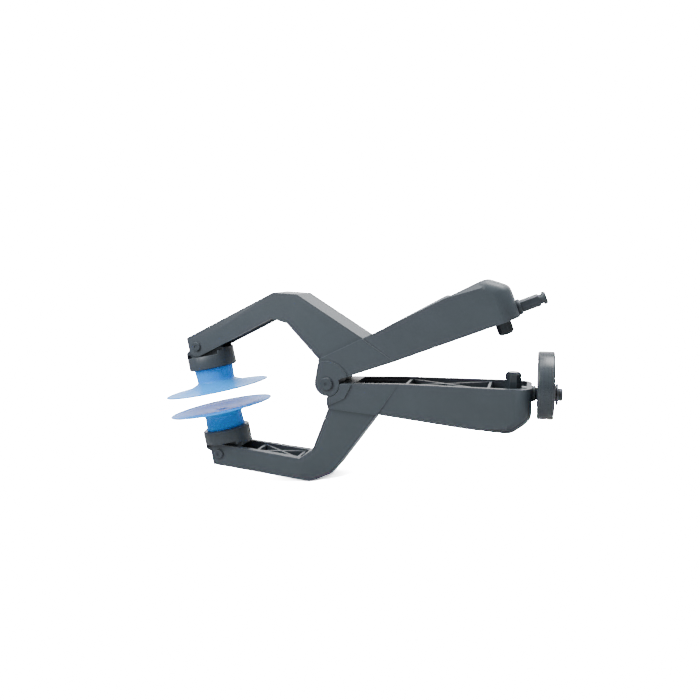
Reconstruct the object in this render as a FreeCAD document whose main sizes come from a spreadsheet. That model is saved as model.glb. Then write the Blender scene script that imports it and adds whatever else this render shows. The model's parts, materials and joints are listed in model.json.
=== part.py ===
import FreeCAD, Part

import math
import os

import Sketcher

# Screen-opening pliers: two crossed-jaw levers with a suction cup on each jaw. Squeezing the
# handles drives the jaws apart, and an eccentric wheel at the end of one handle holds them.
#
# Frame: +X along the line that halves the angle between the handles, from the jaws to the
# handle ends; +Y along the pivot; +Z up, square to the panel between the cups. The model is
# laid out from the pivot and then moved so that the origin is at the bottom centre of its box.
#
# Lever frame: origin on the pivot, x along the handle's rim, z outward from the other lever.

DIMENSIONS = {
    # lever, seen from the side
    "half_opening": 10.5,
    "handle_length": 90.0,
    "handle_end_height": 12.4,
    "handle_crown_x": 82.0,
    "handle_crown_z": 18.9,
    "rim_drop": 1.1,
    "knee_x": 23.3,
    "knee_z": 13.5,
    "hub_run_out": 33.3,
    "leg_foot_x": -0.2,
    "leg_foot_z": 11.7,
    "bend_outer_x": 1.3,
    "bend_outer_z": 43.1,
    "bend_top_x": -9.7,
    "bend_top_z": 48.2,
    "bend_inner_x": -8.6,
    "bend_inner_z": 32.5,
    "arm_root_x": -15.3,
    "arm_root_z": 37.3,
    "tip_outer_x": -62.1,
    "tip_outer_z": 44.4,
    "tip_corner_x": -64.1,
    "tip_corner_z": 33.2,
    "tip_radius": 4.6,
    "crown_radius": 5.0,
    "edge_fade_start": 64.0,
    "edge_fade_end": 80.0,
    "edge_fade_cut": 2.9,
    "end_radius": 6.5,
    "end_edge_radius": 4.5,
    # lever, seen from above
    "arm_tip_width": 15.3,
    "leg_width": 17.9,
    "hub_width": 20.6,
    "handle_root_width": 19.6,
    "handle_end_width": 24.6,
    "knuckle_width": 22.0,
    # channels and braces
    "side_wall": 2.1,
    "outer_wall": 2.2,
    "arm_channel_width": 11.5,
    "leg_pocket_width": 13.5,
    "channel_start": 13.0,
    "channel_crown_x": 80.0,
    "channel_end_height": 8.6,
    "brace_thickness": 1.1,
    "brace_depth": 0.8,
    "handle_brace_start": 36.0,
    "handle_brace_end": 72.0,
    "arm_brace_start": -39.0,
    "arm_brace_end": -17.5,
    # hub
    "knuckle_radius": 10.5,
    "knuckle_edge_angle": 91.5,
    "hub_face_toe": 11.6,
    "hub_face_corner_x": 8.3,
    "hub_face_corner_z": 6.3,
    "boss_radius": 5.9,
    "boss_recess_radius": 6.25,
    "boss_gap": 0.3,
    "pivot_radius": 2.0,
    "pivot_fit": 0.05,
    "pin_head_radius": 3.0,
    "pin_head_height": 1.1,
    "dimple_radius": 0.9,
    "dimple_depth": 0.4,
    "clip_thickness": 0.6,
    # cup heads
    "holder_pin_x": -58.5,
    "holder_pin_z": 38.6,
    "holder_pin_radius": 1.6,
    "holder_pin_face": 7.85,
    "holder_pin_head_radius": 2.3,
    "holder_pin_head_height": 0.8,
    "head_offset": 2.4,
    "ring_radius": 11.7,
    "ring_back": 5.35,
    "ring_front": 11.9,
    "ring_bore_radius": 9.6,
    "back_plate": 2.0,
    "end_wall_rise": 1.8,
    "end_wall_thickness": 1.8,
    "notch_start": -8.6,
    "notch_end": 8.4,
    "lug_width": 10.6,
    "lug_radius": 3.3,
    "neck_radius": 9.5,
    "waist_radius": 9.2,
    "waist_drop": 3.0,
    "flare_rise": 3.4,
    "flare_power": 2.6,
    "flange_radius": 25.4,
    "flange_edge": 0.55,
    "cup_face": 22.6,
    "seal_width": 6.0,
    "dome_height": 1.4,
    "insert_radius": 3.2,
    "insert_flange_radius": 5.5,
    "insert_flange_height": 1.6,
    "insert_depth": 10.6,
    "screw_radius": 1.25,
    "screw_length": 9.6,
    "screw_head_radius": 2.6,
    "screw_head_height": 1.8,
    # handle ends
    "spindle_height": 2.5,
    "collar_radius": 3.45,
    "collar_length": 1.6,
    "spindle_radius": 2.8,
    "spindle_flat": 2.25,
    "spindle_body_length": 7.9,
    "groove_radius": 2.1,
    "groove_length": 1.2,
    "spindle_end_length": 1.8,
    "spindle_tail_radius": 1.9,
    "nut_width": 5.6,
    "nut_height": 2.2,
    "wheel_radius": 14.7,
    "wheel_throw": 3.8,
    "wheel_thickness": 7.0,
    "wheel_gap": 0.35,
    "wheel_boss_radius": 5.2,
    "wheel_boss_height": 0.3,
    "wheel_clip_radius": 4.7,
    "wheel_clip_thickness": 1.0,
    "wheel_clip_slot": 2.6,
    "post_x": 82.1,
    "post_width": 6.8,
    "post_stand": 6.8,
    "post_foot": 7.2,
    "post_shank_radius": 2.4,
    "post_shank_length": 4.2,
    "post_boss_radius": 4.2,
    "post_boss_top": 12.5,
    "post_chamfer": 1.0,
    # grip panels
    "panel_start": 34.0,
    "panel_end": 65.0,
    "panel_width": 17.0,
    "panel_top_width": 9.0,
    "panel_rise_start": 0.2,
    "panel_rise_end": 1.0,
    "panel_nose": 1.4,
}


class Size:
    """A length that knows both its value and the sheet expression that drives it."""

    def __init__(self, value, text):
        self.value = float(value)
        self.text = text

    @staticmethod
    def of(other):
        return other if isinstance(other, Size) else Size(other, str(other))

    def __add__(self, other):
        other = Size.of(other)
        return Size(self.value + other.value, f"({self.text} + {other.text})")

    def __sub__(self, other):
        other = Size.of(other)
        return Size(self.value - other.value, f"({self.text} - {other.text})")

    def __mul__(self, other):
        other = Size.of(other)
        return Size(self.value * other.value, f"({self.text} * {other.text})")

    def __truediv__(self, other):
        other = Size.of(other)
        return Size(self.value / other.value, f"({self.text} / {other.text})")

    def __neg__(self):
        return Size(-self.value, f"(-{self.text})")


doc = FreeCAD.newDocument("ScreenOpeningPliers")
sheet = doc.addObject("Spreadsheet::Sheet", "Dimensions")
for row, (alias, number) in enumerate(DIMENSIONS.items(), start=1):
    sheet.set(f"A{row}", alias)
    sheet.set(f"B{row}", str(number))
    sheet.setAlias(f"B{row}", alias)
doc.recompute()


def size(alias):
    return Size(sheet.get(alias), f"Dimensions.{alias}")


def trig(function, alias):
    """The sine or cosine of an angle of the sheet, as a Size."""
    value = getattr(math, function)(math.radians(sheet.get(alias)))
    return Size(value, f"{function}(Dimensions.{alias} * 1 deg)")


def bind(feature, field, length):
    length = Size.of(length)
    setattr(feature, field, length.value)
    feature.setExpression(field, length.text)


def new_body(name):
    body = doc.addObject("PartDesign::Body", name)
    body.Label = name
    return body


def new_sketch(body, plane, offset=None):
    """A sketch on one of the body's own planes, moved along the plane's normal by offset."""
    sketch = body.newObject("Sketcher::SketchObject", "Sketch")
    planes = {feature.Role: feature for feature in body.Origin.OriginFeatures}
    sketch.AttachmentSupport = [(planes[plane], "")]
    sketch.MapMode = "FlatFace"
    if offset is not None:
        offset = Size.of(offset)
        sketch.AttachmentOffset = FreeCAD.Placement(
            FreeCAD.Vector(0, 0, offset.value), FreeCAD.Rotation()
        )
        sketch.setExpression("AttachmentOffset.Base.z", offset.text)
    return sketch


def hold(sketch, geometry, point, x, y):
    """Hold a point of the sketch at x, y from its origin."""
    for kind, length in (("DistanceX", Size.of(x)), ("DistanceY", Size.of(y))):
        constraint = Sketcher.Constraint(kind, -1, 1, geometry, point, length.value)
        index = sketch.addConstraint(constraint)
        sketch.setExpression(f"Constraints[{index}]", length.text)


def outline(body, plane, points, offset=None):
    """A sketch of one closed outline with straight sides through the points."""
    sketch = new_sketch(body, plane, offset)
    places = [FreeCAD.Vector(Size.of(x).value, Size.of(y).value, 0) for x, y in points]
    ends = places[1:] + places[:1]
    for start, end in zip(places, ends):
        sketch.addGeometry(Part.LineSegment(start, end))
    for index, (x, y) in enumerate(points):
        joined = (index + 1) % len(points)
        sketch.addConstraint(Sketcher.Constraint("Coincident", index, 2, joined, 1))
        hold(sketch, index, 1, x, y)
    return sketch


def circle(body, plane, x, y, radius, offset=None):
    sketch = new_sketch(body, plane, offset)
    x, y, radius = Size.of(x), Size.of(y), Size.of(radius)
    centre = FreeCAD.Vector(x.value, y.value, 0)
    sketch.addGeometry(Part.Circle(centre, FreeCAD.Vector(0, 0, 1), radius.value))
    hold(sketch, 0, 3, x, y)
    index = sketch.addConstraint(Sketcher.Constraint("Radius", 0, radius.value))
    sketch.setExpression(f"Constraints[{index}]", radius.text)
    return sketch


def pad(body, sketch, length, midplane=False):
    feature = body.newObject("PartDesign::Pad", "Pad")
    feature.Profile = sketch
    bind(feature, "Length", length)
    if midplane:
        feature.SideType = "Symmetric"
    doc.recompute()
    return feature


def pocket(body, sketch, length=None, midplane=False, backwards=False):
    """Cut the sketch out of the body, and make sure that something was cut."""
    before = body.Shape.Volume
    feature = body.newObject("PartDesign::Pocket", "Pocket")
    feature.Profile = sketch
    if midplane:
        feature.SideType = "Symmetric"
    feature.Reversed = backwards
    if length is None:
        feature.Type = "ThroughAll"
    else:
        bind(feature, "Length", length)
    doc.recompute()
    if body.Shape.Volume >= before - 1e-6:
        raise RuntimeError(f"{body.Label}: {feature.Name} cut nothing")
    return feature


def turn(body, sketch, axis):
    feature = body.newObject("PartDesign::Revolution", "Revolution")
    feature.Profile = sketch
    feature.ReferenceAxis = (sketch, [axis])
    feature.Angle = 360
    doc.recompute()
    return feature


def loft_on(body, sections):
    feature = body.newObject("PartDesign::AdditiveLoft", "Loft")
    feature.Profile = sections[0]
    feature.Sections = sections[1:]
    feature.Ruled = True
    doc.recompute()
    return feature


def loft_out(body, sections):
    before = body.Shape.Volume
    feature = body.newObject("PartDesign::SubtractiveLoft", "Channel")
    feature.Profile = sections[0]
    feature.Sections = sections[1:]
    feature.Ruled = True
    doc.recompute()
    if body.Shape.Volume >= before - 1e-6:
        raise RuntimeError(f"{body.Label}: the channel cut nothing")
    return feature


def dress(body, kind, field, amount, chosen):
    """A fillet or chamfer on the edges of the body's tip that chosen() picks."""
    base = body.Tip
    names = [
        f"Edge{number}"
        for number, edge in enumerate(base.Shape.Edges, start=1)
        if chosen(edge)
    ]
    feature = body.newObject(f"PartDesign::{kind}", kind)
    feature.Base = (base, names)
    bind(feature, field, amount)
    doc.recompute()
    return feature


def edges_across(x, z):
    """Picks the edges that run along Y through x, z."""

    def chosen(edge):
        return all(
            abs(vertex.X - x.value) < 0.05 and abs(vertex.Z - z.value) < 0.05
            for vertex in edge.Vertexes
        )

    return chosen


def line_height(start, end, x):
    """The height at x of the straight line through two points of the side view."""
    slope = (end[1] - start[1]) / (end[0] - start[0])
    return start[1] + slope * (x - start[0])


# the lever's side view
knee = (size("knee_x"), size("knee_z"))
crown = (size("handle_crown_x"), size("handle_crown_z"))
handle_foot = (size("handle_length"), size("handle_end_height"))
leg_foot = (size("leg_foot_x"), size("leg_foot_z"))
bend_outer = (size("bend_outer_x"), size("bend_outer_z"))
bend_top = (size("bend_top_x"), size("bend_top_z"))
bend_inner = (size("bend_inner_x"), size("bend_inner_z"))
arm_root = (size("arm_root_x"), size("arm_root_z"))
tip_outer = (size("tip_outer_x"), size("tip_outer_z"))
tip_corner = (size("tip_corner_x"), size("tip_corner_z"))
outer_wall = size("outer_wall")


def wedge(body, start, end, half_limit):
    """Trim both sides of the body to a straight taper between two (x, half width) points."""
    reach = 1
    for side in (1, -1):
        points = [
            (start[0] - reach, start[1] * side),
            (start[0], start[1] * side),
            (end[0], end[1] * side),
            (end[0], half_limit * side),
            (start[0] - reach, half_limit * side),
        ]
        pocket(body, outline(body, "XY_Plane", points), midplane=True)


def brace(body, start, start_half, end, end_half, bottom, height):
    """A crossed pair of ribs between two stations, closed by a rib across each end."""
    thick = size("brace_thickness")
    for side in (1, -1):
        points = [
            (start, -start_half * side),
            (start, -(start_half - thick) * side),
            (end, end_half * side),
            (end, (end_half - thick) * side),
        ]
        pad(body, outline(body, "XY_Plane", points, bottom), height)
    for station, half in ((start, start_half), (end, end_half)):
        points = [
            (station - thick / 2, -half),
            (station + thick / 2, -half),
            (station + thick / 2, half),
            (station - thick / 2, half),
        ]
        pad(body, outline(body, "XY_Plane", points, bottom), height)


def make_arm(body):
    """The jaw arm: a tapering beam with a channel open towards the other jaw."""
    arm = [tip_corner, tip_outer, bend_top, bend_outer, bend_inner, arm_root]
    pad(body, outline(body, "XZ_Plane", arm), size("leg_width"), midplane=True)
    dress(body, "Fillet", "Radius", size("tip_radius"), edges_across(*tip_corner))
    narrow = (tip_corner[0], size("arm_tip_width") / 2)
    wedge(body, narrow, (bend_top[0], size("leg_width") / 2), size("leg_width"))
    far = tip_corner[0] - 4
    near = arm_root[0]
    channel = [
        (far, tip_corner[1] - 4),
        (far, line_height(tip_outer, bend_top, far) - outer_wall),
        (near, line_height(tip_outer, bend_top, near) - outer_wall),
        (near, tip_corner[1] - 4),
    ]
    width = size("arm_channel_width")
    pocket(body, outline(body, "XZ_Plane", channel), width, midplane=True)
    start, end = size("arm_brace_start"), size("arm_brace_end")
    low = tip_corner[1] - 2
    half = width / 2 + 0.3
    brace(body, start, half, end, half, low, bend_top[1] + 3 - low)
    before, after = start - 2, end + 2
    above = [
        (before, line_height(tip_outer, bend_top, before)),
        (before, bend_top[1] + 4),
        (after, bend_top[1] + 4),
        (after, line_height(tip_outer, bend_top, after)),
    ]
    pocket(body, outline(body, "XZ_Plane", above), size("leg_width") + 2, midplane=True)
    for cut_width, recess in ((size("leg_width") + 2, 0), (width, size("brace_depth"))):
        below = [
            (before, low - 1),
            (before, line_height(tip_corner, arm_root, before) + recess),
            (after, line_height(tip_corner, arm_root, after) + recess),
            (after, low - 1),
        ]
        pocket(body, outline(body, "XZ_Plane", below), cut_width, midplane=True)


def make_leg(body):
    """The leg between the bend and the hub, hollowed from the side that faces the jaws."""
    leg = [bend_outer, knee, leg_foot, bend_inner]
    pad(body, outline(body, "XZ_Plane", leg), size("leg_width"), midplane=True)
    top = bend_outer[1] - outer_wall * 2
    foot = knee[1] + outer_wall
    wall = outer_wall * 1.25
    hollow = [
        (line_height((bend_outer[1], bend_outer[0]), (knee[1], knee[0]), top) - wall, top),
        (line_height((bend_outer[1], bend_outer[0]), (knee[1], knee[0]), foot) - wall, foot),
        (leg_foot[0] - 6, foot),
        (bend_inner[0] - 4, bend_inner[1] - 1),
        (bend_inner[0], bend_inner[1] - 1),
    ]
    pocket(body, outline(body, "XZ_Plane", hollow), size("leg_pocket_width"), midplane=True)


def sharpen_back(body, end):
    """Square up the long edges of the handle's back, down to where they fade into its round end."""
    root = (knee[0], size("handle_root_width") / 2)
    tip = (end, size("handle_end_width") / 2)
    sections = []
    for x, cut in (
        (knee[0], Size.of(0.05)),
        (size("edge_fade_start"), Size.of(0.05)),
        (size("edge_fade_end"), size("edge_fade_cut")),
    ):
        half = line_height(root, tip, x)
        top = line_height(knee, crown, x)
        low = top - size("crown_radius") - 2
        points = [
            (-half, low),
            (half, low),
            (half, top - cut),
            (half - cut, top),
            (cut - half, top),
            (-half, top - cut),
        ]
        sections.append(outline(body, "YZ_Plane", points, x))
    loft_on(body, sections)


def make_handle(body):
    """The hub block and the handle, which flares to its rounded end and is open along its rim."""
    end = size("handle_length")
    rim = -size("rim_drop")
    run_out = (size("hub_run_out"), rim)
    handle = [knee, crown, handle_foot, (end, rim), run_out]
    width = size("handle_end_width")
    pad(body, outline(body, "XZ_Plane", handle), width, midplane=True)
    wedge(body, (knee[0], size("handle_root_width") / 2), (end, width / 2), width)
    dress(
        body,
        "Fillet",
        "Radius",
        size("end_radius"),
        lambda edge: all(abs(v.X - end.value) < 0.05 for v in edge.Vertexes)
        and abs(edge.Vertexes[0].Z - edge.Vertexes[-1].Z) > 5,
    )
    dress(body, "Fillet", "Radius", size("end_edge_radius"), edges_across(*handle_foot))
    dress(body, "Fillet", "Radius", size("crown_radius"), edges_across(*crown))
    sharpen_back(body, end)
    hub = [leg_foot, knee, run_out, (0, 0)]
    pad(body, outline(body, "XZ_Plane", hub), size("hub_width"), midplane=True)
    side_wall = size("side_wall")
    start, top_x = size("channel_start"), size("channel_crown_x")
    inside_end = end - outer_wall
    root_half = size("handle_root_width") / 2 - side_wall
    end_half = width / 2 - side_wall
    crown_half = line_height((start, root_half), (end, end_half), top_x)
    stations = [
        (start, root_half, line_height(knee, crown, start) - outer_wall),
        (top_x, crown_half, line_height(knee, crown, top_x) - outer_wall),
        (inside_end, end_half - 2, size("channel_end_height")),
    ]
    sections = []
    for x, half, top in stations:
        points = [(-half, rim - 2), (half, rim - 2), (half, top), (-half, top)]
        sections.append(outline(body, "YZ_Plane", points, x))
    loft_out(body, sections)
    first, last = size("handle_brace_start"), size("handle_brace_end")
    first_half = line_height((start, root_half), (end, end_half), first)
    last_half = line_height((start, root_half), (end, end_half), last)
    brace(body, first, first_half, last, last_half, rim + size("brace_depth"), crown[1] + 2)
    above = [
        (first - 3, line_height(knee, crown, first - 3)),
        (last + 3, line_height(knee, crown, last + 3)),
        (last + 3, crown[1] * 1.5),
        (first - 3, crown[1] * 1.5),
    ]
    pocket(body, outline(body, "XZ_Plane", above), width + 2, midplane=True)


def make_handle_end(body):
    """The boss that takes the stop post, and the hole that takes the spindle."""
    post_x = size("post_x")
    foot = size("post_foot")
    boss = circle(body, "XY_Plane", post_x, 0, size("post_boss_radius"), foot)
    pad(body, boss, size("post_boss_top") - foot)
    socket = circle(body, "XY_Plane", post_x, 0, size("post_shank_radius"), foot)
    pocket(body, socket, size("post_shank_length"), backwards=True)
    start = size("handle_length") + 2
    hole = circle(
        body, "YZ_Plane", 0, size("spindle_height"), size("spindle_tail_radius"), start
    )
    pocket(body, hole, outer_wall + 4)


def make_knuckle(body):
    """The hub: a round knuckle and a boss on one side, a recessed straight-edged face on the other."""
    radius = size("knuckle_radius")
    angle = sheet.get("knuckle_edge_angle")
    edge_x = radius * trig("cos", "knuckle_edge_angle")
    edge_z = radius * trig("sin", "knuckle_edge_angle")
    hub_half = size("hub_width") / 2
    sketch = new_sketch(body, "XZ_Plane", -hub_half)
    centre = FreeCAD.Vector(0, 0, 0)
    axis = FreeCAD.Vector(0, 0, 1)
    rim = Part.Circle(centre, axis, radius.value)
    sketch.addGeometry(Part.LineSegment(centre, FreeCAD.Vector(radius.value, 0, 0)))
    sketch.addGeometry(Part.ArcOfCircle(rim, 0, math.radians(angle)))
    edge = FreeCAD.Vector(edge_x.value, edge_z.value, 0)
    sketch.addGeometry(Part.LineSegment(edge, centre))
    for first, second in ((0, 1), (1, 2), (2, 0)):
        sketch.addConstraint(Sketcher.Constraint("Coincident", first, 2, second, 1))
    sketch.addConstraint(Sketcher.Constraint("Coincident", 0, 1, -1, 1))
    sketch.addConstraint(Sketcher.Constraint("Coincident", 1, 3, -1, 1))
    hold(sketch, 0, 2, radius, 0)
    index = sketch.addConstraint(Sketcher.Constraint("DistanceX", -1, 1, 2, 1, edge_x.value))
    sketch.setExpression(f"Constraints[{index}]", edge_x.text)
    width = size("knuckle_width")
    pad(body, sketch, hub_half + width / 2)
    face = [
        (0, 0),
        (size("hub_face_toe"), 0),
        (size("hub_face_corner_x"), size("hub_face_corner_z")),
        (edge_x, edge_z),
    ]
    pad(body, outline(body, "XZ_Plane", face, -width / 2), width / 2)
    gap = size("boss_gap") / 2
    pocket(body, circle(body, "XZ_Plane", 0, 0, size("boss_recess_radius"), gap))
    boss_radius = size("boss_radius")
    length = width / 2 - gap
    pad(body, circle(body, "XZ_Plane", 0, 0, boss_radius, gap), length)
    # the flat that runs from the knuckle's edge down to the boss
    lean = math.acos(boss_radius.value / radius.value) + math.radians(angle)
    flat = [
        (0, 0),
        (edge_x, edge_z),
        (boss_radius * math.cos(lean), boss_radius * math.sin(lean)),
    ]
    pad(body, outline(body, "XZ_Plane", flat, gap), length)
    bore = size("pivot_radius") + size("pivot_fit")
    pocket(body, circle(body, "XZ_Plane", 0, 0, bore), midplane=True)


def make_lever(name):
    body = new_body(name)
    make_handle(body)
    make_leg(body)
    make_arm(body)
    make_knuckle(body)
    make_handle_end(body)
    pin = (size("holder_pin_x"), size("holder_pin_z"))
    pocket(body, circle(body, "XZ_Plane", *pin, size("holder_pin_radius")), midplane=True)
    return body


def make_pivot_pin():
    """The pivot pin, along Y: a dimpled head, a running half, a pressed half and a clip groove."""
    body = new_body("pivot_pin")
    half = size("knuckle_width") / 2
    top = half + size("pin_head_height")
    head, dimple = size("pin_head_radius"), size("dimple_radius")
    shank = size("pivot_radius")
    press = shank + size("pivot_fit")
    groove = half + 0.2
    tail = groove + size("clip_thickness") + 0.1
    points = [
        (0, -top + size("dimple_depth")),
        (dimple, -top + size("dimple_depth")),
        (dimple, -top),
        (head - 0.3, -top),
        (head, -top + 0.3),
        (head, -half),
        (shank, -half),
        (shank, 0),
        (press, 0),
        (press, half),
        (shank, groove),
        (shank * 0.8, groove),
        (shank * 0.8, tail),
        (shank, tail),
        (shank, tail + 0.5),
        (shank - 0.4, tail + 0.9),
        (0, tail + 0.9),
    ]
    turn(body, outline(body, "XY_Plane", points), "V_Axis")
    return body


def make_washer(name, inner, outer, start, thickness):
    """A flat retaining ring about the Y axis, from start along +Y."""
    body = new_body(name)
    end = start + thickness
    points = [(inner, start), (outer, start), (outer, end), (inner, end)]
    turn(body, outline(body, "XY_Plane", points), "V_Axis")
    return body


def make_holder_pin(name):
    body = new_body(name)
    face = size("holder_pin_face")
    top = face + size("holder_pin_head_height")
    head, dimple = size("holder_pin_head_radius"), size("dimple_radius")
    shank = size("holder_pin_radius")
    groove = face + 0.1
    tail = groove + size("clip_thickness")
    points = [
        (0, -top + size("dimple_depth") * 0.75),
        (dimple, -top + size("dimple_depth") * 0.75),
        (dimple, -top),
        (head - 0.25, -top),
        (head, -top + 0.25),
        (head, -face),
        (shank, -face),
        (shank, groove),
        (shank * 0.75, groove),
        (shank * 0.75, tail),
        (shank, tail),
        (shank, tail + 0.4),
        (shank - 0.3, tail + 0.7),
        (0, tail + 0.7),
    ]
    turn(body, outline(body, "XY_Plane", points), "V_Axis")
    return body


def make_holder(name):
    """The ring that holds a cup, its end walls and its lug. Its own z axis is the cup's axis."""
    body = new_body(name)
    back, front = -size("ring_back"), -size("ring_front")
    outer, bore = size("ring_radius"), size("ring_bore_radius")
    hole = size("screw_radius") + 0.1
    step = back - size("back_plate")
    wall_top = back + size("end_wall_rise")
    wall_inner = outer - size("end_wall_thickness")
    bevel = 0.5
    ring = [
        (hole, back),
        (wall_inner, back),
        (wall_inner, wall_top),
        (outer - bevel, wall_top),
        (outer, wall_top - bevel),
        (outer, front + bevel),
        (outer - bevel, front),
        (bore, front),
        (bore, step),
        (hole, step),
    ]
    turn(body, outline(body, "XZ_Plane", ring), "V_Axis")
    start, end = size("notch_start"), size("notch_end")
    notch = [(start, back), (end, back), (end, wall_top + 1), (start, wall_top + 1)]
    pocket(body, outline(body, "XZ_Plane", notch), midplane=True)
    pin_x = -size("head_offset")
    lug_radius = size("lug_radius")
    root = back - 0.5
    side = outer - 0.1
    lug = [
        (-side, root),
        (-side, wall_top),
        (pin_x - lug_radius, lug_radius * 0.2),
        (pin_x + lug_radius, lug_radius * 0.2),
        (side, wall_top + 0.6),
        (side, root),
    ]
    width = size("lug_width")
    pad(body, outline(body, "XZ_Plane", lug), width, midplane=True)
    pad(body, circle(body, "XZ_Plane", pin_x, 0, lug_radius), width, midplane=True)
    beyond = new_sketch(body, "XY_Plane")
    centre = FreeCAD.Vector(0, 0, 0)
    axis = FreeCAD.Vector(0, 0, 1)
    for radius in (outer, outer * 1.5):
        index = beyond.addGeometry(Part.Circle(centre, axis, radius.value))
        beyond.addConstraint(Sketcher.Constraint("Coincident", index, 3, -1, 1))
        held = beyond.addConstraint(Sketcher.Constraint("Radius", index, radius.value))
        beyond.setExpression(f"Constraints[{held}]", radius.text)
    pocket(body, beyond, midplane=True)
    relief = circle(body, "XY_Plane", 0, 0, size("screw_head_radius") + 0.3, back)
    pocket(body, relief, backwards=True)
    pocket(body, circle(body, "XY_Plane", 0, 0, hole, step - 1), backwards=True)
    bore = size("holder_pin_radius") + size("pivot_fit")
    pocket(body, circle(body, "XZ_Plane", pin_x, 0, bore), midplane=True)
    return body


# how far along from the waist to the flange's rim each point of a cup's flare lies
FLARE_PLACES = (0.0, 0.05, 0.12, 0.22, 0.36, 0.6, 0.99)


def make_cup(name):
    """A suction cup: plug and waisted neck, flared base, thin flange with a shallow hollow."""
    body = new_body(name)
    top = -size("ring_back") - size("back_plate")
    front, face = -size("ring_front"), -size("cup_face")
    neck, waist, flange = size("neck_radius"), size("waist_radius"), size("flange_radius")
    edge = face + size("flange_edge")
    stud, stud_flange = size("insert_radius"), size("insert_flange_radius")
    stud_end = top - size("insert_depth")
    shoulder = stud_end + size("insert_flange_height")
    lip = flange - size("seal_width")
    flare = []
    for place in FLARE_PLACES:
        rise = size("flare_rise") * (1 - place) ** sheet.get("flare_power")
        flare.append((waist + (flange - waist) * place, edge + rise))
    points = [
        (stud, top),
        (neck, top),
        (neck, front),
        (waist, front - size("waist_drop")),
        *flare,
        (flange, edge - size("flange_edge") / 2),
        (flange - 0.2, face),
        (lip, face),
        (lip * 0.55, face + size("dome_height") * 0.8),
        (0, face + size("dome_height")),
        (0, stud_end),
        (stud_flange, stud_end),
        (stud_flange, shoulder),
        (stud, shoulder),
    ]
    turn(body, outline(body, "XZ_Plane", points), "V_Axis")
    return body


def make_insert(name):
    """The stiff stud moulded into a cup's neck, bored for the screw."""
    body = new_body(name)
    top = -size("ring_back") - size("back_plate")
    bottom = top - size("insert_depth")
    shoulder = bottom + size("insert_flange_height")
    radius, flange = size("insert_radius"), size("insert_flange_radius")
    bore = size("screw_radius")
    bore_end = -size("ring_back") - size("screw_length")
    points = [
        (bore, top),
        (radius, top),
        (radius, shoulder),
        (flange, shoulder),
        (flange, bottom),
        (0, bottom),
        (0, bore_end),
        (bore, bore_end),
    ]
    turn(body, outline(body, "XZ_Plane", points), "V_Axis")
    return body


def make_screw(name):
    body = new_body(name)
    seat = -size("ring_back")
    top = seat + size("screw_head_height")
    head, shank = size("screw_head_radius"), size("screw_radius")
    tip = seat - size("screw_length")
    recess = head * 0.45
    points = [
        (0, top - 0.9),
        (recess, top - 0.9),
        (recess, top),
        (head - 0.5, top),
        (head, top - 0.5),
        (head, seat),
        (shank, seat),
        (shank, tip),
        (0, tip),
    ]
    turn(body, outline(body, "XZ_Plane", points), "V_Axis")
    return body


def make_spindle(name):
    """A stub spindle along x from the handle's end face: collar, body with a flat, clip groove."""
    body = new_body(name)
    collar_end = size("collar_length")
    groove = collar_end + size("spindle_body_length")
    flange = groove + size("groove_length")
    end = flange + size("spindle_end_length")
    tail = -outer_wall - size("nut_height")
    radius, tail_radius = size("spindle_radius"), size("spindle_tail_radius")
    collar = size("collar_radius")
    points = [
        (tail, 0),
        (tail, tail_radius),
        (0, tail_radius),
        (0, collar),
        (collar_end - 0.3, collar),
        (collar_end, collar - 0.3),
        (collar_end, radius),
        (groove, radius),
        (groove, size("groove_radius")),
        (flange, size("groove_radius")),
        (flange, radius),
        (end - 0.5, radius),
        (end, radius - 0.5),
        (end, 0),
    ]
    turn(body, outline(body, "XZ_Plane", points), "H_Axis")
    flat = -size("spindle_flat")
    strip = [
        (collar_end, flat),
        (groove, flat),
        (groove, flat - radius),
        (collar_end, flat - radius),
    ]
    pocket(body, outline(body, "XY_Plane", strip), collar * 2, midplane=True)
    return body


def polygon_points(sides, width, turned=0.0):
    """The corners of a regular polygon of this width across its flats, about the origin."""
    corner = width / 2 / math.cos(math.pi / sides)
    angles = [2 * math.pi * (index + turned) / sides for index in range(sides)]
    return [(corner * math.cos(angle), corner * math.sin(angle)) for angle in angles]


def make_nut(name):
    body = new_body(name)
    start = -outer_wall - size("nut_height")
    points = polygon_points(6, size("nut_width"))
    pad(body, outline(body, "YZ_Plane", points, start), size("nut_height"))
    bore = circle(body, "YZ_Plane", 0, 0, size("spindle_tail_radius"), start)
    pocket(body, bore, backwards=True)
    return body


def make_wheel(name):
    """The eccentric wheel, its bore on the x axis and its rim's centre below it by the throw."""
    body = new_body(name)
    start = size("collar_length") + size("wheel_gap")
    thickness = size("wheel_thickness")
    disc = circle(body, "YZ_Plane", 0, -size("wheel_throw"), size("wheel_radius"), start)
    pad(body, disc, thickness)
    dress(
        body,
        "Chamfer",
        "Size",
        Size.of(0.5),
        lambda edge: isinstance(edge.Curve, Part.Circle) and edge.Curve.Radius > 10,
    )
    boss = circle(body, "YZ_Plane", 0, 0, size("wheel_boss_radius"), start + thickness)
    pad(body, boss, size("wheel_boss_height"))
    bore_radius = size("spindle_radius") + size("pivot_fit")
    bore = circle(body, "YZ_Plane", 0, 0, bore_radius, start - 1)
    pocket(body, bore, backwards=True)
    return body


def make_wheel_clip(name):
    """A clip with one open side, seated in the spindle's groove."""
    body = new_body(name)
    thickness = size("wheel_clip_thickness")
    seat = size("collar_length") + size("spindle_body_length") + 0.1
    outer = size("wheel_clip_radius")
    pad(body, circle(body, "YZ_Plane", 0, 0, outer, seat), thickness)
    bore = circle(body, "YZ_Plane", 0, 0, size("groove_radius"), seat)
    pocket(body, bore, backwards=True)
    half = size("wheel_clip_slot") / 2
    slot = [(-half, 0), (half, 0), (half, outer + 1), (-half, outer + 1)]
    pocket(body, outline(body, "YZ_Plane", slot, seat - 1), thickness + 2, backwards=True)
    return body


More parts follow.
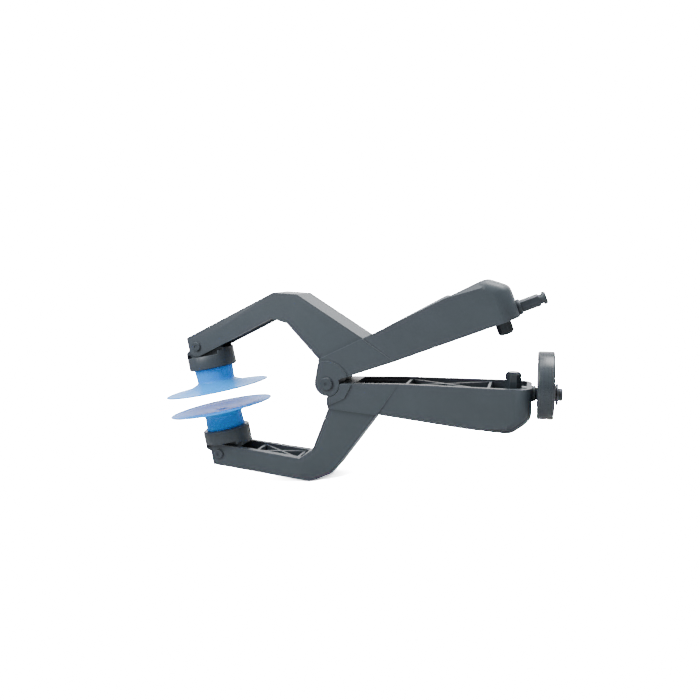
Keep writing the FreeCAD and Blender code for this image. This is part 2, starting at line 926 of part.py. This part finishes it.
def make_post(name):
    """A faceted stop post with a bevelled end and a round shank, along z."""
    body = new_body(name)
    foot, stand = size("post_foot"), size("post_stand")
    points = polygon_points(8, size("post_width"), 0.5)
    pad(body, outline(body, "XY_Plane", points, -stand), stand + foot)
    dress(
        body,
        "Chamfer",
        "Size",
        size("post_chamfer"),
        lambda edge: all(abs(v.Z + stand.value) < 0.01 for v in edge.Vertexes),
    )
    shank = circle(body, "XY_Plane", 0, 0, size("post_shank_radius"), foot)
    pad(body, shank, size("post_shank_length") - 0.2)
    return body


def make_panel(name):
    """The strip along the back of a handle, which rises towards its blunt end."""
    body = new_body(name)
    start, end = size("panel_start"), size("panel_end")
    half, top_half = size("panel_width") / 2, size("panel_top_width") / 2
    low_rise, high_rise = size("panel_rise_start"), size("panel_rise_end")
    stations = [(start, low_rise), (end - size("panel_nose"), high_rise), (end, low_rise)]
    sections = []
    for x, rise in stations:
        base = line_height(knee, crown, x)
        points = [(-half, base), (half, base), (top_half, base + rise), (-top_half, base + rise)]
        sections.append(outline(body, "YZ_Plane", points, x))
    loft_on(body, sections)
    return body


def placed(x=0.0, y=0.0, z=0.0):
    return FreeCAD.Placement(FreeCAD.Vector(x, y, z), FreeCAD.Rotation())


Y_AXIS = FreeCAD.Vector(0, 1, 0)
X_AXIS = FreeCAD.Vector(1, 0, 0)
opening = sheet.get("half_opening")
turned_over = FreeCAD.Rotation(X_AXIS, 180)
LEVERS = {
    "upper": FreeCAD.Placement(FreeCAD.Vector(), FreeCAD.Rotation(Y_AXIS, -opening)),
    "lower": FreeCAD.Placement(
        FreeCAD.Vector(), FreeCAD.Rotation(Y_AXIS, opening) * turned_over
    ),
}
pin_place = FreeCAD.Vector(sheet.get("holder_pin_x"), 0, sheet.get("holder_pin_z"))
spindle_place = placed(sheet.get("handle_length"), 0, sheet.get("spindle_height"))

layout = []
for side, lever in LEVERS.items():
    upright = FreeCAD.Rotation() if side == "upper" else turned_over
    head = FreeCAD.Placement(lever.multVec(pin_place), upright)
    cup_axis = head * placed(sheet.get("head_offset"))
    pin_home = FreeCAD.Placement(lever.multVec(pin_place), FreeCAD.Rotation())
    groove = size("holder_pin_face") + 0.1
    layout += [
        (make_lever(f"{side}_lever"), lever),
        (make_holder_pin(f"{side}_holder_pin"), pin_home),
        (
            make_washer(
                f"{side}_holder_clip",
                size("holder_pin_radius") * 0.75,
                size("holder_pin_head_radius"),
                groove,
                size("clip_thickness"),
            ),
            pin_home,
        ),
        (make_holder(f"{side}_cup_holder"), cup_axis),
        (make_cup(f"{side}_suction_cup"), cup_axis),
        (make_insert(f"{side}_cup_insert"), cup_axis),
        (make_screw(f"{side}_cup_screw"), cup_axis),
        (make_spindle(f"{side}_spindle"), lever * spindle_place),
        (make_nut(f"{side}_spindle_nut"), lever * spindle_place),
        (make_post(f"{side}_stop_post"), lever * placed(sheet.get("post_x"))),
        (make_panel(f"{side}_grip_panel"), lever),
    ]
pivot = LEVERS["lower"] * FreeCAD.Placement(FreeCAD.Vector(), turned_over)
clip_start = size("knuckle_width") / 2 + 0.25
layout += [
    (make_pivot_pin(), pivot),
    (
        make_washer(
            "pivot_clip",
            size("pivot_radius") * 0.8,
            size("pin_head_radius") + 0.3,
            clip_start,
            size("clip_thickness"),
        ),
        pivot,
    ),
    (make_wheel("locking_wheel"), LEVERS["lower"] * spindle_place),
    (make_wheel_clip("wheel_clip"), LEVERS["lower"] * spindle_place),
]

for body, home in layout:
    body.Placement = home
doc.recompute()

# the origin goes to the bottom centre of the whole assembly's box
boxes = [body.Shape.optimalBoundingBox(True, False) for body, home in layout]
left, right = min(box.XMin for box in boxes), max(box.XMax for box in boxes)
near, far = min(box.YMin for box in boxes), max(box.YMax for box in boxes)
bottom, top = min(box.ZMin for box in boxes), max(box.ZMax for box in boxes)
shift = placed(-(left + right) / 2, -(near + far) / 2, -bottom)
for body, home in layout:
    body.Placement = shift * home
doc.recompute()

for item in doc.Objects:
    if "Invalid" in item.State or "Error" in item.State:
        raise RuntimeError(f"{item.Name} ({item.Label}) failed: {item.State}")
for body, home in layout:
    if body.Shape.isNull() or not body.Shape.isValid() or len(body.Shape.Solids) != 1:
        raise RuntimeError(f"{body.Label}: the shape is not one valid solid")

os.makedirs("parts", exist_ok=True)
for body, home in layout:
    body.Shape.exportStep(f"parts/{body.Label}.step")

print(f"size {right - left:.3f} x {far - near:.3f} x {top - bottom:.3f} mm")
print("pivot", shift.multVec(FreeCAD.Vector()))
for side, lever in LEVERS.items():
    home = shift * lever
    print(side, "holder pin", home.multVec(pin_place))
    print(side, "spindle", (home * spindle_place).Base, home.Rotation.multVec(X_AXIS))
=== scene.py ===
import json
from math import cos, pi, radians, sin

import bpy
from mathutils import Matrix, Vector


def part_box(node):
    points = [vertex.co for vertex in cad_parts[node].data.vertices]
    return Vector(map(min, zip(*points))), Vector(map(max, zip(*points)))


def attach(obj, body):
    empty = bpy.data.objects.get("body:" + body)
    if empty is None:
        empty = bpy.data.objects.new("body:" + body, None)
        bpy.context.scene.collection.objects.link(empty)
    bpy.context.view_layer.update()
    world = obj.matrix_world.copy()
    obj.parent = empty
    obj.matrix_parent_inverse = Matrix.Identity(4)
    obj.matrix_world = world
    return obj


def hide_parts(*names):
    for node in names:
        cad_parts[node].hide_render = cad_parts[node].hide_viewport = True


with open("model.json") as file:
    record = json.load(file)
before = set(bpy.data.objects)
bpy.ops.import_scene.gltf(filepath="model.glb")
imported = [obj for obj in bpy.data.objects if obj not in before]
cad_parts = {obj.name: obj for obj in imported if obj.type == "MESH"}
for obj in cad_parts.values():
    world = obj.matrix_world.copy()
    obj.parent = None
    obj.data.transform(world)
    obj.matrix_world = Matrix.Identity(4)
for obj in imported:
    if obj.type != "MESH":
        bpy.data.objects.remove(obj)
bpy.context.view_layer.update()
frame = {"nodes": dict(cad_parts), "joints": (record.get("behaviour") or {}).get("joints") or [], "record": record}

MM = 0.001
nodes = frame["nodes"]
joints = {joint["name"]: joint for joint in frame["joints"]}
PIVOT = Vector(joints["lever_hinge"]["pos_m"])


# ---------------------------------------------------------------- camera

CAMERA_AZIMUTH = radians(18.1)
CAMERA_ELEVATION = radians(4.6)
CAMERA_ROLL = radians(10.9)
CAMERA_DISTANCE = 280.4 * MM
CAMERA_LENS = 30.86
CAMERA_SENSOR = 36.0
NEAREST_SEEN = 0.01
FARTHEST_SEEN = 20.0
AIM = PIVOT + Vector((10.6, 0.0, 12.6)) * MM


def make_camera():
    back = Vector(
        (
            sin(CAMERA_AZIMUTH) * cos(CAMERA_ELEVATION),
            -cos(CAMERA_AZIMUTH) * cos(CAMERA_ELEVATION),
            sin(CAMERA_ELEVATION),
        )
    )
    data = bpy.data.cameras.new("camera")
    data.lens = CAMERA_LENS
    data.sensor_width = CAMERA_SENSOR
    data.clip_start = NEAREST_SEEN
    data.clip_end = FARTHEST_SEEN
    camera = bpy.data.objects.new("camera", data)
    bpy.context.scene.collection.objects.link(camera)
    level = (-back).to_track_quat("-Z", "Y").to_matrix()
    rolled = level @ Matrix.Rotation(-CAMERA_ROLL, 3, "Z")
    camera.matrix_world = Matrix.Translation(AIM + back * CAMERA_DISTANCE) @ rolled.to_4x4()
    bpy.context.scene.camera = camera


# ---------------------------------------------------------------- node trees


def math_node(tree, operation, first, second):
    """A sum, product or the like of two values, each an output or a plain number."""
    node = tree.nodes.new("ShaderNodeMath")
    node.operation = operation
    for value, socket in ((first, node.inputs[0]), (second, node.inputs[1])):
        if isinstance(value, bpy.types.NodeSocket):
            tree.links.new(value, socket)
        else:
            socket.default_value = value
    return node.outputs[0]


class Shade:
    """A material's node tree, with short calls that add and join nodes."""

    def __init__(self, name):
        self.material = bpy.data.materials.new(name)
        self.material.use_nodes = True
        self.tree = self.material.node_tree
        self.surface = self.tree.nodes["Principled BSDF"]
        self.out = self.tree.nodes["Material Output"]
        self.position = self.add("ShaderNodeTexCoord").outputs["Object"]

    def add(self, kind, **settings):
        node = self.tree.nodes.new(kind)
        for key, value in settings.items():
            setattr(node, key, value)
        return node

    def join(self, output, socket):
        self.tree.links.new(output, socket)

    def feed(self, output, name):
        """Joins an output to one of the surface's inputs."""
        self.join(output, self.surface.inputs[name])

    def set(self, **values):
        for key, value in values.items():
            self.surface.inputs[key.replace("_", " ")].default_value = value

    def noise(self, scale, detail=3.0, rough=0.55, stretch=None):
        """A noise value over the object, scale in features per metre."""
        place = self.position
        if stretch is not None:
            mapping = self.add("ShaderNodeMapping")
            mapping.inputs["Scale"].default_value = stretch
            self.join(place, mapping.inputs["Vector"])
            place = mapping.outputs["Vector"]
        node = self.add("ShaderNodeTexNoise")
        node.inputs["Scale"].default_value = scale
        node.inputs["Detail"].default_value = detail
        node.inputs["Roughness"].default_value = rough
        self.join(place, node.inputs["Vector"])
        return node.outputs["Fac"]

    def two_tone(self, noise, low, high):
        """One colour where the noise is low and another where it is high."""
        node = self.add("ShaderNodeValToRGB")
        stops = ((0.5 - NOISE_REACH, low), (0.5 + NOISE_REACH, high))
        for element, (place, colour) in zip(node.color_ramp.elements, stops):
            element.position = place
            element.color = (*colour, 1.0)
        self.join(noise, node.inputs["Fac"])
        return node.outputs["Color"]

    def remap(self, value, low, high, out_low, out_high):
        node = self.add("ShaderNodeMapRange")
        for key, number in (
            ("From Min", low),
            ("From Max", high),
            ("To Min", out_low),
            ("To Max", out_high),
        ):
            node.inputs[key].default_value = number
        self.join(value, node.inputs["Value"])
        return node.outputs["Result"]

    def spread(self, noise, out_low, out_high, reach):
        """Stretches a noise's middle, 0.5 less and plus reach, over a range."""
        return self.remap(noise, 0.5 - reach, 0.5 + reach, out_low, out_high)

    def mix(self, factor, first, second):
        """Mixes an output and a plain colour."""
        node = self.add("ShaderNodeMix", data_type="RGBA")
        self.join(factor, node.inputs[0])
        self.join(first, node.inputs[6])
        node.inputs[7].default_value = (*second, 1.0)
        return node.outputs[2]

    def bump(self, height, strength, distance):
        node = self.add("ShaderNodeBump")
        node.inputs["Strength"].default_value = strength
        node.inputs["Distance"].default_value = distance
        self.join(height, node.inputs["Height"])
        return node.outputs["Normal"]

    def edge_wear_and_highlight(self, width):
        """Rises from 0 to 1 within a small width of the sharp edges, where colour is painted lighter as wear and,
        on the plastic, as a painted highlight.
        """
        rounded = self.add("ShaderNodeBevel", samples=EDGE_SAMPLES)
        rounded.inputs["Radius"].default_value = width
        flat = self.add("ShaderNodeNewGeometry").outputs["Normal"]
        turned = self.add("ShaderNodeVectorMath", operation="DOT_PRODUCT")
        self.join(rounded.outputs["Normal"], turned.inputs[0])
        self.join(flat, turned.inputs[1])
        return self.remap(turned.outputs["Value"], EDGE_MASK_START, EDGE_MASK_FULL, 0.0, 1.0)


# ---------------------------------------------------------------- materials

NOISE_REACH = 0.2  # most of a noise lies within this of its middle value
# how much the plastic's painted edge lightening, wear and painted highlight, varies from patch to patch
EDGE_PATCH_REACH = 0.15
COAT_RUB_REACH = 0.1

# how fine each noise is, in features per metre
PLASTIC_FLOW = 55.0
PLASTIC_EDGE_PATCHES = 160.0
PLASTIC_GRIT = 4200.0
COAT_PATCHES = 300.0
COAT_RUBS = 1500.0
COAT_MARKS = 3600.0
STEEL_STAINS = 420.0
STEEL_SCRATCHES = 2600.0
SCRATCH_STRETCH = (1.0, 0.08, 1.0)
SILICONE_CLOUDS = 60.0

GRIT_DEPTH = 0.03 * MM
MARK_DEPTH = 0.02 * MM
CLOUD_DEPTH = 0.2 * MM

# widths of the edge bands painted lighter: on the plastic partly wear and partly a painted highlight
PLASTIC_EDGE = 0.4 * MM
COAT_EDGE = 0.2 * MM
EDGE_SAMPLES = 4
EDGE_MASK_START = 0.99  # how nearly the rounded and flat normals agree away from an edge
EDGE_MASK_FULL = 0.90
# how much lighter the edges are painted: wear, and on the plastic a painted highlight as well
WEAR_AND_HIGHLIGHT_TINT = 2.2
WEAR_AND_HIGHLIGHT_LIFT = 0.02

SILICONE_LOW = (0.024, 0.33, 0.88)
SILICONE_HIGH = (0.038, 0.38, 0.93)
SILICONE_DEPTH_COLOUR = (0.10, 0.55, 0.95, 1.0)
SILICONE_DENSITY = 90.0


def tint(colour, factor, lift=0.0):
    return tuple(min(part * factor + lift, 1.0) for part in colour)


def moulded_plastic(name, colour, grain=0.08, roughness=0.42):
    """Satin moulded plastic: fine eroded grain, faint flow marks, edges painted lighter, partly as wear and partly
    as a painted highlight.
    """
    shade = Shade(name)
    flow = shade.noise(PLASTIC_FLOW)
    base = shade.two_tone(flow, tint(colour, 0.94), tint(colour, 1.07))
    edge_amount = shade.spread(shade.noise(PLASTIC_EDGE_PATCHES, detail=2.0), 0.30, 0.75, EDGE_PATCH_REACH)
    # painted highlight and wear: the sharp edges are painted lighter, more in some patches than in others
    edge = math_node(shade.tree, "MULTIPLY", shade.edge_wear_and_highlight(PLASTIC_EDGE), edge_amount)
    shade.feed(shade.mix(edge, base, tint(colour, WEAR_AND_HIGHLIGHT_TINT, WEAR_AND_HIGHLIGHT_LIFT)), "Base Color")
    grit = shade.noise(PLASTIC_GRIT, detail=2.0, rough=0.6)
    shade.feed(shade.spread(grit, roughness - 0.03, roughness + 0.05, NOISE_REACH), "Roughness")
    shade.feed(shade.bump(grit, grain, GRIT_DEPTH), "Normal")
    shade.set(Specular_IOR_Level=0.42, IOR=1.48)
    return shade.material


def coated_metal(name, colour, roughness=0.34):
    """Dark coated metal with a fine uneven finish, brighter where the coat has worn."""
    shade = Shade(name)
    base = shade.two_tone(shade.noise(COAT_PATCHES), tint(colour, 0.88), tint(colour, 1.05))
    edge_amount = shade.spread(shade.noise(COAT_RUBS), 0.05, 0.40, COAT_RUB_REACH)
    wear = math_node(shade.tree, "MULTIPLY", shade.edge_wear_and_highlight(COAT_EDGE), edge_amount)
    shade.feed(shade.mix(wear, base, tint(colour, WEAR_AND_HIGHLIGHT_TINT, WEAR_AND_HIGHLIGHT_LIFT)), "Base Color")
    fine = shade.noise(COAT_MARKS, detail=2.0)
    shade.feed(shade.spread(fine, roughness - 0.05, roughness + 0.06, NOISE_REACH), "Roughness")
    shade.feed(shade.bump(fine, 0.15, MARK_DEPTH), "Normal")
    shade.set(Metallic=0.25, Specular_IOR_Level=0.45)
    return shade.material


def bare_steel(name, colour, roughness=0.30):
    """Plain steel with fine scratches and a little dulling."""
    shade = Shade(name)
    stains = shade.noise(STEEL_STAINS, detail=4.0)
    shade.feed(shade.two_tone(stains, tint(colour, 0.78), colour), "Base Color")
    scratch = shade.noise(STEEL_SCRATCHES, stretch=SCRATCH_STRETCH)
    shade.feed(shade.spread(scratch, roughness - 0.08, roughness + 0.12, NOISE_REACH), "Roughness")
    shade.feed(shade.bump(scratch, 0.25, MARK_DEPTH), "Normal")
    shade.set(Metallic=1.0)
    return shade.material


def clear_silicone(name):
    """Cloudy blue silicone that lets some light through and is bluer where it is thick."""
    shade = Shade(name)
    cloud = shade.noise(SILICONE_CLOUDS, detail=2.0)
    shade.feed(shade.two_tone(cloud, SILICONE_LOW, SILICONE_HIGH), "Base Color")
    shade.feed(shade.spread(cloud, 0.40, 0.48, NOISE_REACH), "Roughness")
    shade.feed(shade.bump(cloud, 0.05, CLOUD_DEPTH), "Normal")
    shade.set(Transmission_Weight=0.30, IOR=1.25, Specular_IOR_Level=0.15)
    shade.set(Coat_Weight=0.12, Coat_Roughness=0.12)
    depth = shade.add("ShaderNodeVolumeAbsorption")
    depth.inputs["Color"].default_value = SILICONE_DEPTH_COLOUR
    depth.inputs["Density"].default_value = SILICONE_DENSITY
    shade.join(depth.outputs["Volume"], shade.out.inputs["Volume"])
    return shade.material


PLASTIC = (0.040, 0.051, 0.062)
MATERIALS = {
    "lever_plastic": moulded_plastic("lever_plastic", PLASTIC),
    "holder_plastic": moulded_plastic("holder_plastic", tint(PLASTIC, 0.88), roughness=0.38),
    "post_plastic": moulded_plastic("post_plastic", tint(PLASTIC, 0.62), roughness=0.16),
    "panel_plastic": moulded_plastic("panel_plastic", tint(PLASTIC, 1.15), grain=0.4, roughness=0.5),
    "wheel_plastic": moulded_plastic("wheel_plastic", tint(PLASTIC, 0.74), roughness=0.27),
    "spindle_metal": coated_metal("spindle_metal", tint(PLASTIC, 0.95)),
    "pin_metal": coated_metal("pin_metal", tint(PLASTIC, 1.05), roughness=0.38),
    "clip_steel": bare_steel("clip_steel", (0.10, 0.11, 0.12)),
    "screw_steel": bare_steel("screw_steel", (0.60, 0.61, 0.63), roughness=0.24),
    "insert_plastic": moulded_plastic("insert_plastic", (0.06, 0.30, 0.75), grain=0.05, roughness=0.35),
    "cup_silicone": clear_silicone("cup_silicone"),
}


# ---------------------------------------------------------------- CAD nodes

EDGE_WIDTHS = {"lever": 0.30, "wheel": 0.3, "cup_holder": 0.25}
SMALL_EDGE = 0.12
EDGE_SEGMENTS = 2
SHARP_ANGLE = radians(32)
WELD_REACH = 0.005 * MM


def dress_nodes():
    """Gives every CAD node its material and softens its edges."""
    slots = {entry["node"]: entry["material_slot"] for entry in frame["record"]["subparts"]}
    for name, thing in nodes.items():
        thing.data.materials.clear()
        thing.data.materials.append(MATERIALS[slots[name]])
        weld = thing.modifiers.new("weld", "WELD")
        weld.merge_threshold = WELD_REACH
        bevel = thing.modifiers.new("bevel", "BEVEL")
        widths = [width for word, width in EDGE_WIDTHS.items() if word in name]
        bevel.width = (widths[0] if widths else SMALL_EDGE) * MM
        bevel.segments = EDGE_SEGMENTS
        bevel.limit_method = "ANGLE"
        bevel.angle_limit = SHARP_ANGLE
        bevel.harden_normals = True
        bevel.use_clamp_overlap = True


# ---------------------------------------------------------------- suction cups

# A cup's radii and depths in millimetres. Depth runs from the plug's top to the sealing face.
SHOULDER = ((-1.0, 0.0), (-0.3, 0.25), (0.0, 0.9))  # the plug's rounded top: past the neck, depth
RING_DEPTH = 4.55  # how far the holder's ring reaches down the plug
NECK_RADIUS = 9.5
BEAD_OUT = 0.12  # a slight swelling just below the ring
BEAD_DEPTH = 0.35
NECK_SWELL = 0.05
NECK_START = 0.8
NECK_STEPS = 6
WAIST_RADIUS = 9.2
WAIST_ABOVE_FLARE = 0.5
FLARE_RISE = 3.4
FLARE_POWER = 2.6
FLARE_FIRST = 0.02  # fraction of the flare's width at its first point
FLARE_SPAN = 0.97
FLARE_CROWDING = 1.6  # draws the points together near the waist
FLARE_STEPS = 30
FLANGE_RADIUS = 25.4
FLANGE_EDGE = 0.55
EDGE_STEPS = 8
SEAL_INNER = 19.4
SEAL_RIBS = 4
STEPS_PER_RIB = 12
RIB_HEIGHT = 0.12
DOME_HEIGHT = 1.4
DOME_POWER = 1.3
DOME_STEPS = 15
NUB_RADIUS = 3.2
NUB_HEIGHT = 0.35
NUB_SKIRT = 0.6
NUB_ROUND = 0.4
NUB_SHOULDER = 0.1
CUP_SEGMENTS = 144


def cup_profile(length):
    """Radius and depth from the plug's top, in millimetres, down the outside and back inside."""
    points = [(0.0, 0.0)]
    points += [(NECK_RADIUS + past, depth) for past, depth in SHOULDER]
    points += [(NECK_RADIUS, RING_DEPTH), (NECK_RADIUS + BEAD_OUT, RING_DEPTH + BEAD_DEPTH)]
    edge = length - FLANGE_EDGE
    neck_top = RING_DEPTH + NECK_START
    neck_height = edge - FLARE_RISE - WAIST_ABOVE_FLARE - neck_top
    for step in range(NECK_STEPS + 1):
        along = step / NECK_STEPS
        radius = NECK_RADIUS + NECK_SWELL + (WAIST_RADIUS - NECK_RADIUS) * sin(along * pi / 2)
        points.append((radius, neck_top + neck_height * along))
    for step in range(FLARE_STEPS + 1):
        along = FLARE_FIRST + FLARE_SPAN * (step / FLARE_STEPS) ** FLARE_CROWDING
        rise = FLARE_RISE * (1 - along) ** FLARE_POWER
        points.append((WAIST_RADIUS + (FLANGE_RADIUS - WAIST_RADIUS) * along, edge - rise))
    half = FLANGE_EDGE / 2
    for step in range(1, EDGE_STEPS):
        turn = pi * step / EDGE_STEPS
        points.append((FLANGE_RADIUS - half + half * sin(turn), length - half - half * cos(turn)))
    seal_steps = STEPS_PER_RIB * SEAL_RIBS
    for step in range(seal_steps + 1):
        along = step / seal_steps
        dent = RIB_HEIGHT * (1 - cos(2 * pi * along * SEAL_RIBS)) / 2
        points.append((FLANGE_RADIUS - half + (SEAL_INNER - FLANGE_RADIUS) * along, length - dent))
    start = points[-1][0]
    for step in range(1, DOME_STEPS):
        along = step / DOME_STEPS
        hollow = DOME_HEIGHT * sin(along * pi / 2) ** DOME_POWER
        points.append((start + (NUB_RADIUS + NUB_SKIRT - start) * along, length - hollow))
    nub = length - DOME_HEIGHT + NUB_HEIGHT
    points += [(NUB_RADIUS, nub - NUB_SHOULDER), (NUB_RADIUS - NUB_ROUND, nub), (0.0, nub)]
    return points


def lathe(name, profile, centre, top, down, segments):
    """A closed turned mesh about a vertical line; depth is measured from top towards down."""
    vertices = []
    rows = []
    for radius, depth in profile:
        height = top + down * depth * MM
        if radius == 0.0:
            rows.append([len(vertices)] * segments)
            vertices.append((centre[0], centre[1], height))
            continue
        rows.append(range(len(vertices), len(vertices) + segments))
        for step in range(segments):
            turn = 2 * pi * step / segments
            across = radius * MM
            vertices.append((centre[0] + across * cos(turn), centre[1] + across * sin(turn), height))
    faces = []
    for upper, lower in zip(rows, rows[1:]):
        for step in range(segments):
            following = (step + 1) % segments
            loop = [upper[step], lower[step], lower[following], upper[following]]
            corners = list(dict.fromkeys(loop))
            faces.append(corners if down < 0 else corners[::-1])
    mesh = bpy.data.meshes.new(name)
    mesh.from_pydata(vertices, [], faces)
    mesh.shade_smooth()
    piece = bpy.data.objects.new(name, mesh)
    bpy.context.scene.collection.objects.link(piece)
    return piece


def make_cups():
    for side, down in (("upper", -1), ("lower", 1)):
        node = f"{side}_suction_cup"
        low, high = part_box(node)
        centre = ((low[0] + high[0]) / 2, (low[1] + high[1]) / 2)
        length = (high[2] - low[2]) / MM
        top = high[2] if side == "upper" else low[2]
        cup = lathe(f"{side}_cup", cup_profile(length), centre, top, down, CUP_SEGMENTS)
        cup.data.materials.append(MATERIALS["cup_silicone"])
        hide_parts(node)
        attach(cup, f"{side}_head")


# ---------------------------------------------------------------- floor and light

PAPER_WHITE = 0.38  # the floor's shade in the light that it throws back on the object
PAPER_DRIFT = 0.985
PAPER_CLOUDS = 3.0
SEEN_FLOOR = 30.0  # the shade that the camera sees instead, so that the floor shows pure white
FLOOR_REACH = 6.0

SKY_FRONT = 0.28
SKY_TOP = 1.0
SKY_BACK = 4.0
BACKDROP_WAY = Vector((-0.31, 0.94, 0.10))
GLOW_STARTS = 0.72  # how nearly a direction has to face the backdrop, as a cosine
GLOW_FULL = 1.0
SEEN_SKY = 40.0
SKY_THROUGH_SILICONE = 1.6

# each light's place and aim from the pivot in metres, its side in metres and its power in watts
LIGHTS = {
    "overhead": ((0.06, 0.06, 0.60), (0.0, 0.0, 0.0), 0.5, 3.6),
    "upper_left": ((-0.16, -0.24, 0.24), (0.0, 0.0, 0.0), 0.25, 1.8),
    "end_glint": ((0.17, 0.04, 0.17), (0.08, 0.0, 0.03), 0.12, 0.6),
}


def seen_rays(tree):
    """1 on rays straight from the eye, and 1 on rays that have come through silicone."""
    path = tree.nodes.new("ShaderNodeLightPath").outputs
    return path["Is Camera Ray"], path["Is Transmission Ray"]


def floor_material():
    """White paper that shows pure white but throws back less light than it would."""
    shade = Shade("floor_white")
    drift = shade.noise(PAPER_CLOUDS, detail=2.0)
    shade.feed(shade.two_tone(drift, (PAPER_WHITE * PAPER_DRIFT,) * 3, (PAPER_WHITE,) * 3), "Base Color")
    shade.set(Roughness=0.8, Specular_IOR_Level=0.1)
    seen = shade.add("ShaderNodeBsdfDiffuse")
    seen.inputs["Color"].default_value = (SEEN_FLOOR,) * 3 + (1.0,)
    pick = shade.add("ShaderNodeMixShader")
    shade.join(seen_rays(shade.tree)[0], pick.inputs[0])
    shade.join(shade.surface.outputs["BSDF"], pick.inputs[1])
    shade.join(seen.outputs["BSDF"], pick.inputs[2])
    shade.join(pick.outputs["Shader"], shade.out.inputs["Surface"])
    return shade.material


def make_floor():
    mesh = bpy.data.meshes.new("floor")
    signs = ((-1, -1), (1, -1), (1, 1), (-1, 1))
    mesh.from_pydata([(x * FLOOR_REACH, y * FLOOR_REACH, 0.0) for x, y in signs], [], [(0, 1, 2, 3)])
    floor = bpy.data.objects.new("floor", mesh)
    floor.data.materials.append(floor_material())
    bpy.context.scene.collection.objects.link(floor)


def sky_strength(tree):
    """Bright towards the backdrop, softer above and dim in front."""
    way = tree.nodes.new("ShaderNodeTexCoord").outputs["Generated"]
    facing = tree.nodes.new("ShaderNodeVectorMath")
    facing.operation = "DOT_PRODUCT"
    tree.links.new(way, facing.inputs[0])
    facing.inputs[1].default_value = BACKDROP_WAY.normalized()
    glow = tree.nodes.new("ShaderNodeMapRange")
    glow.interpolation_type = "SMOOTHSTEP"
    for key, number in (
        ("From Min", GLOW_STARTS),
        ("From Max", GLOW_FULL),
        ("To Min", SKY_FRONT),
        ("To Max", SKY_BACK),
    ):
        glow.inputs[key].default_value = number
    tree.links.new(facing.outputs["Value"], glow.inputs["Value"])
    parts = tree.nodes.new("ShaderNodeSeparateXYZ")
    tree.links.new(way, parts.inputs[0])
    height = math_node(tree, "MAXIMUM", parts.outputs["Z"], 0.0)
    above = math_node(tree, "MULTIPLY", height, SKY_TOP)
    return math_node(tree, "ADD", glow.outputs["Result"], above)


def make_world():
    """A studio sky, with a plain white one in its place for the eye and through the silicone."""
    world = bpy.data.worlds.new("studio")
    world.use_nodes = True
    tree = world.node_tree
    light = tree.nodes["Background"]
    tree.links.new(sky_strength(tree), light.inputs["Strength"])
    eye, through = seen_rays(tree)
    gain = math_node(tree, "MULTIPLY", eye, SEEN_SKY - SKY_THROUGH_SILICONE)
    seen = tree.nodes.new("ShaderNodeBackground")
    tree.links.new(math_node(tree, "ADD", gain, SKY_THROUGH_SILICONE), seen.inputs["Strength"])
    for background in (light, seen):
        background.inputs["Color"].default_value = (1.0, 1.0, 1.0, 1.0)
    pick = tree.nodes.new("ShaderNodeMixShader")
    tree.links.new(math_node(tree, "ADD", eye, through), pick.inputs[0])
    tree.links.new(light.outputs["Background"], pick.inputs[1])
    tree.links.new(seen.outputs["Background"], pick.inputs[2])
    tree.links.new(pick.outputs["Shader"], tree.nodes["World Output"].inputs["Surface"])
    bpy.context.scene.world = world


def make_lights():
    """A broad light overhead, one from the upper left, and a small one on the handle ends."""
    for name, (place, aim, side, power) in LIGHTS.items():
        data = bpy.data.lights.new(name, "AREA")
        data.shape = "SQUARE"
        data.size = side
        data.energy = power
        light = bpy.data.objects.new(name, data)
        light.location = PIVOT + Vector(place)
        light.rotation_mode = "QUATERNION"
        light.rotation_quaternion = (Vector(aim) - Vector(place)).to_track_quat("-Z", "Y")
        bpy.context.scene.collection.objects.link(light)


make_camera()
dress_nodes()
make_cups()
make_floor()
make_world()
make_lights()
